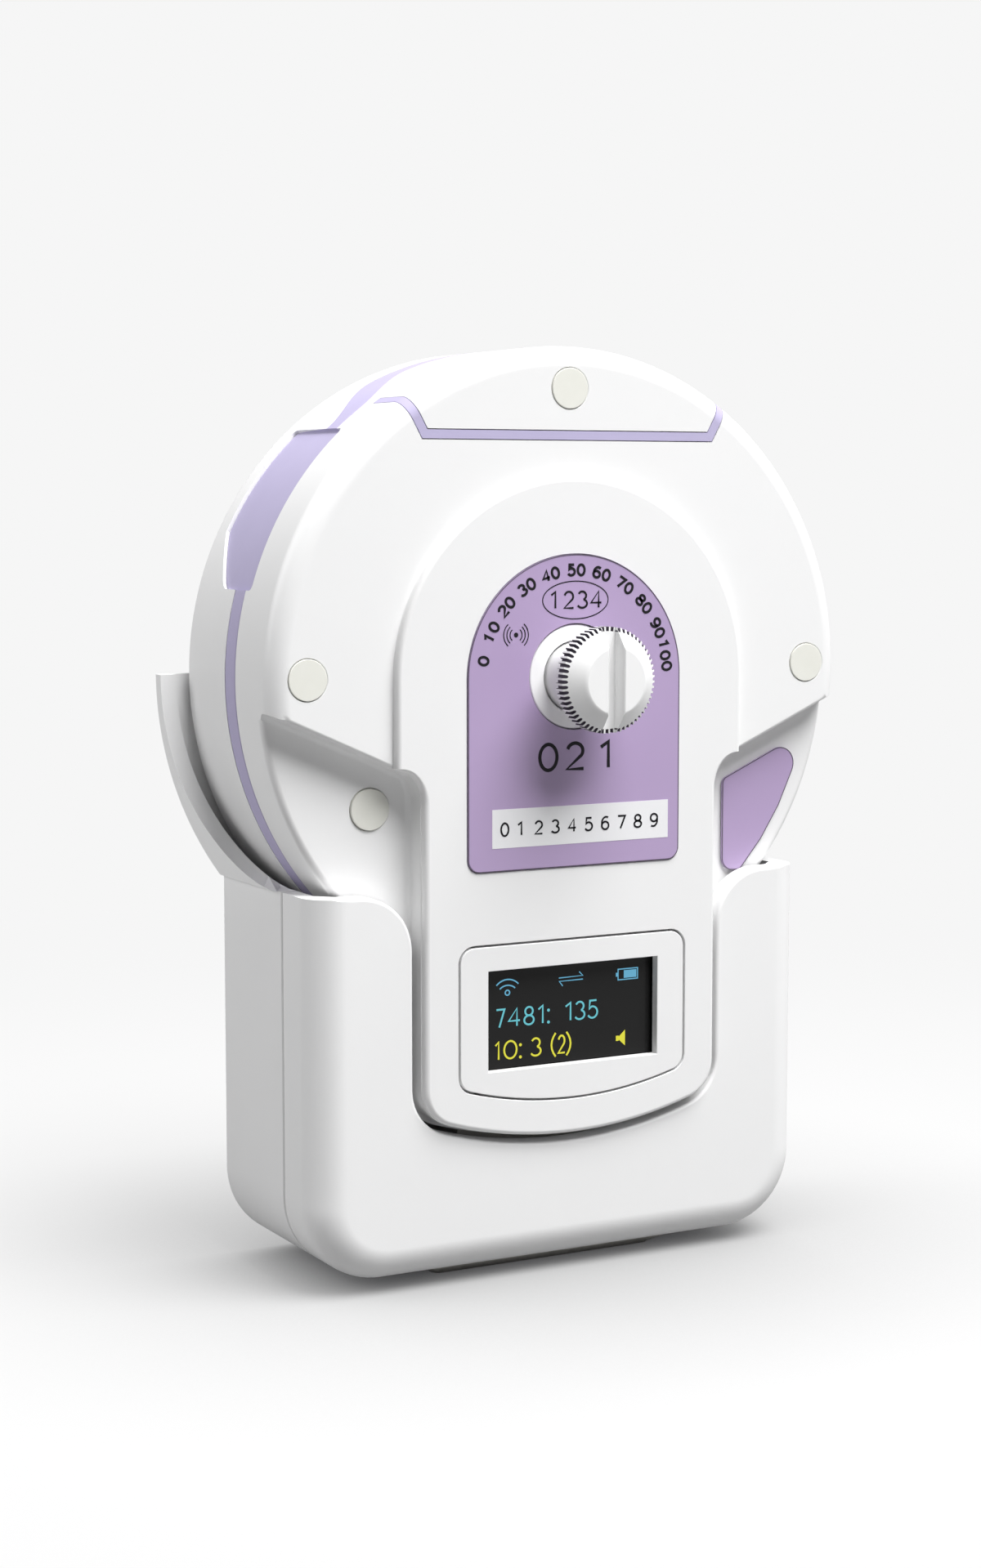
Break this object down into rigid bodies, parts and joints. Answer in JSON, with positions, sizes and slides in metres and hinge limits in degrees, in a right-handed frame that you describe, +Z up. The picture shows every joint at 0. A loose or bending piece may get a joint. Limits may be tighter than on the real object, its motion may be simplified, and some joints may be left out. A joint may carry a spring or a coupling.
{
  "type": "cardiotocograph transducer in charging cradle",
  "caption": "Wireless fetal heart transducer with a round body, keyhole neck with display and a belt knob, standing in a charging cradle with a crescent back",
  "frame": {"origin": "centre of the foot pad's underside, where the cradle stands", "axes": "+X to the right seen from the front, +Y to the rear, +Z up; the display and knob face -Y"},
  "size_m": [0.09, 0.04, 0.1183],
  "materials": {
    "moulded_white": "fine satin, moulded",
    "printed_purple": "printed film, satin",
    "soft_purple": "matt, soft to the touch",
    "plug_rubber": "matt",
    "foot_rubber": "matt",
    "display_glass": "polished",
    "acoustic_membrane": "smooth, satin",
    "circuit_board": "solder resist",
    "cell_foil": "dull foil",
    "piezo_ceramic": "fired ceramic",
    "backing_resin": "cast",
    "screw_steel": "plated",
    "gold_brass": "gold flash"
  },
  "bodies": {
    "cradle": {"cradle_front": "moulded_white", "cradle_rear": "moulded_white", "foot_pad": "foot_rubber", "contact_block": "foot_rubber", "cradle_board": "circuit_board", "power_inlet": "screw_steel", "pin_barrel_1": "gold_brass", "cover_screw_1": "screw_steel", "pin_barrel_2": "gold_brass", "cover_screw_2": "screw_steel", "pin_barrel_3": "gold_brass", "cover_screw_3": "screw_steel", "pin_barrel_4": "gold_brass", "cover_screw_4": "screw_steel"},
    "transducer": {"front_shell": "moulded_white", "rear_shell": "moulded_white", "rim_band": "soft_purple", "top_cap_inlay": "soft_purple", "acoustic_face": "acoustic_membrane", "type_label": "printed_purple", "side_label": "printed_purple", "display_bezel": "moulded_white", "display_module": "display_glass", "screw_plug_top": "plug_rubber", "screw_plug_left": "plug_rubber", "screw_plug_right": "plug_rubber", "screw_plug_lower_left": "plug_rubber", "case_screw_top": "screw_steel", "case_screw_left": "screw_steel", "case_screw_right": "screw_steel", "case_screw_lower_left": "screw_steel", "case_screw_lower_right": "screw_steel", "crystal_carrier": "backing_resin", "main_board": "circuit_board", "battery": "cell_foil", "knob_insert": "gold_brass", "crystal_1": "piezo_ceramic", "crystal_2": "piezo_ceramic", "crystal_3": "piezo_ceramic", "crystal_4": "piezo_ceramic", "crystal_5": "piezo_ceramic", "crystal_6": "piezo_ceramic", "crystal_7": "piezo_ceramic", "charge_pad_1": "gold_brass", "charge_pad_2": "gold_brass", "charge_pad_3": "gold_brass", "charge_pad_4": "gold_brass"},
    "knob_seal_ring": {"knob_seal_ring": "moulded_white"},
    "belt_knob": {"knob_head": "moulded_white", "knob_stem": "moulded_white"},
    "contact_pin_1": {"contact_pin_1": "gold_brass"},
    "contact_pin_2": {"contact_pin_2": "gold_brass"},
    "contact_pin_3": {"contact_pin_3": "gold_brass"},
    "contact_pin_4": {"contact_pin_4": "gold_brass"}
  },
  "joints": [
    {"name": "transducer_lift", "type": "slide", "parent": "cradle", "child": "transducer", "axis": [0, 0, 1], "range_m": [0, 0.065]},
    {"name": "belt_knob_slide", "type": "slide", "parent": "transducer", "child": "knob_seal_ring", "axis": [0, -1, 0], "range_m": [0, 0.0024]},
    {"name": "belt_knob_turn", "type": "hinge", "parent": "knob_seal_ring", "child": "belt_knob", "pos_m": [0, -0.0147, 0.077], "axis": [0, -1, 0], "range_deg": [0, 1080]},
    {"name": "contact_pin_1_slide", "type": "slide", "parent": "cradle", "child": "contact_pin_1", "axis": [0, 0, 1], "range_m": [-0.0008, 0], "stiffness_N_per_m": 300, "springref_m": 0.0004},
    {"name": "contact_pin_2_slide", "type": "slide", "parent": "cradle", "child": "contact_pin_2", "axis": [0, 0, 1], "range_m": [-0.0008, 0], "stiffness_N_per_m": 300, "springref_m": 0.0004},
    {"name": "contact_pin_3_slide", "type": "slide", "parent": "cradle", "child": "contact_pin_3", "axis": [0, 0, 1], "range_m": [-0.0008, 0], "stiffness_N_per_m": 300, "springref_m": 0.0004},
    {"name": "contact_pin_4_slide", "type": "slide", "parent": "cradle", "child": "contact_pin_4", "axis": [0, 0, 1], "range_m": [-0.0008, 0], "stiffness_N_per_m": 300, "springref_m": 0.0004}
  ],
  "couplings": [
    {"joint": "belt_knob_turn", "follows": "belt_knob_slide", "rad_per_m": 7854}
  ]
}
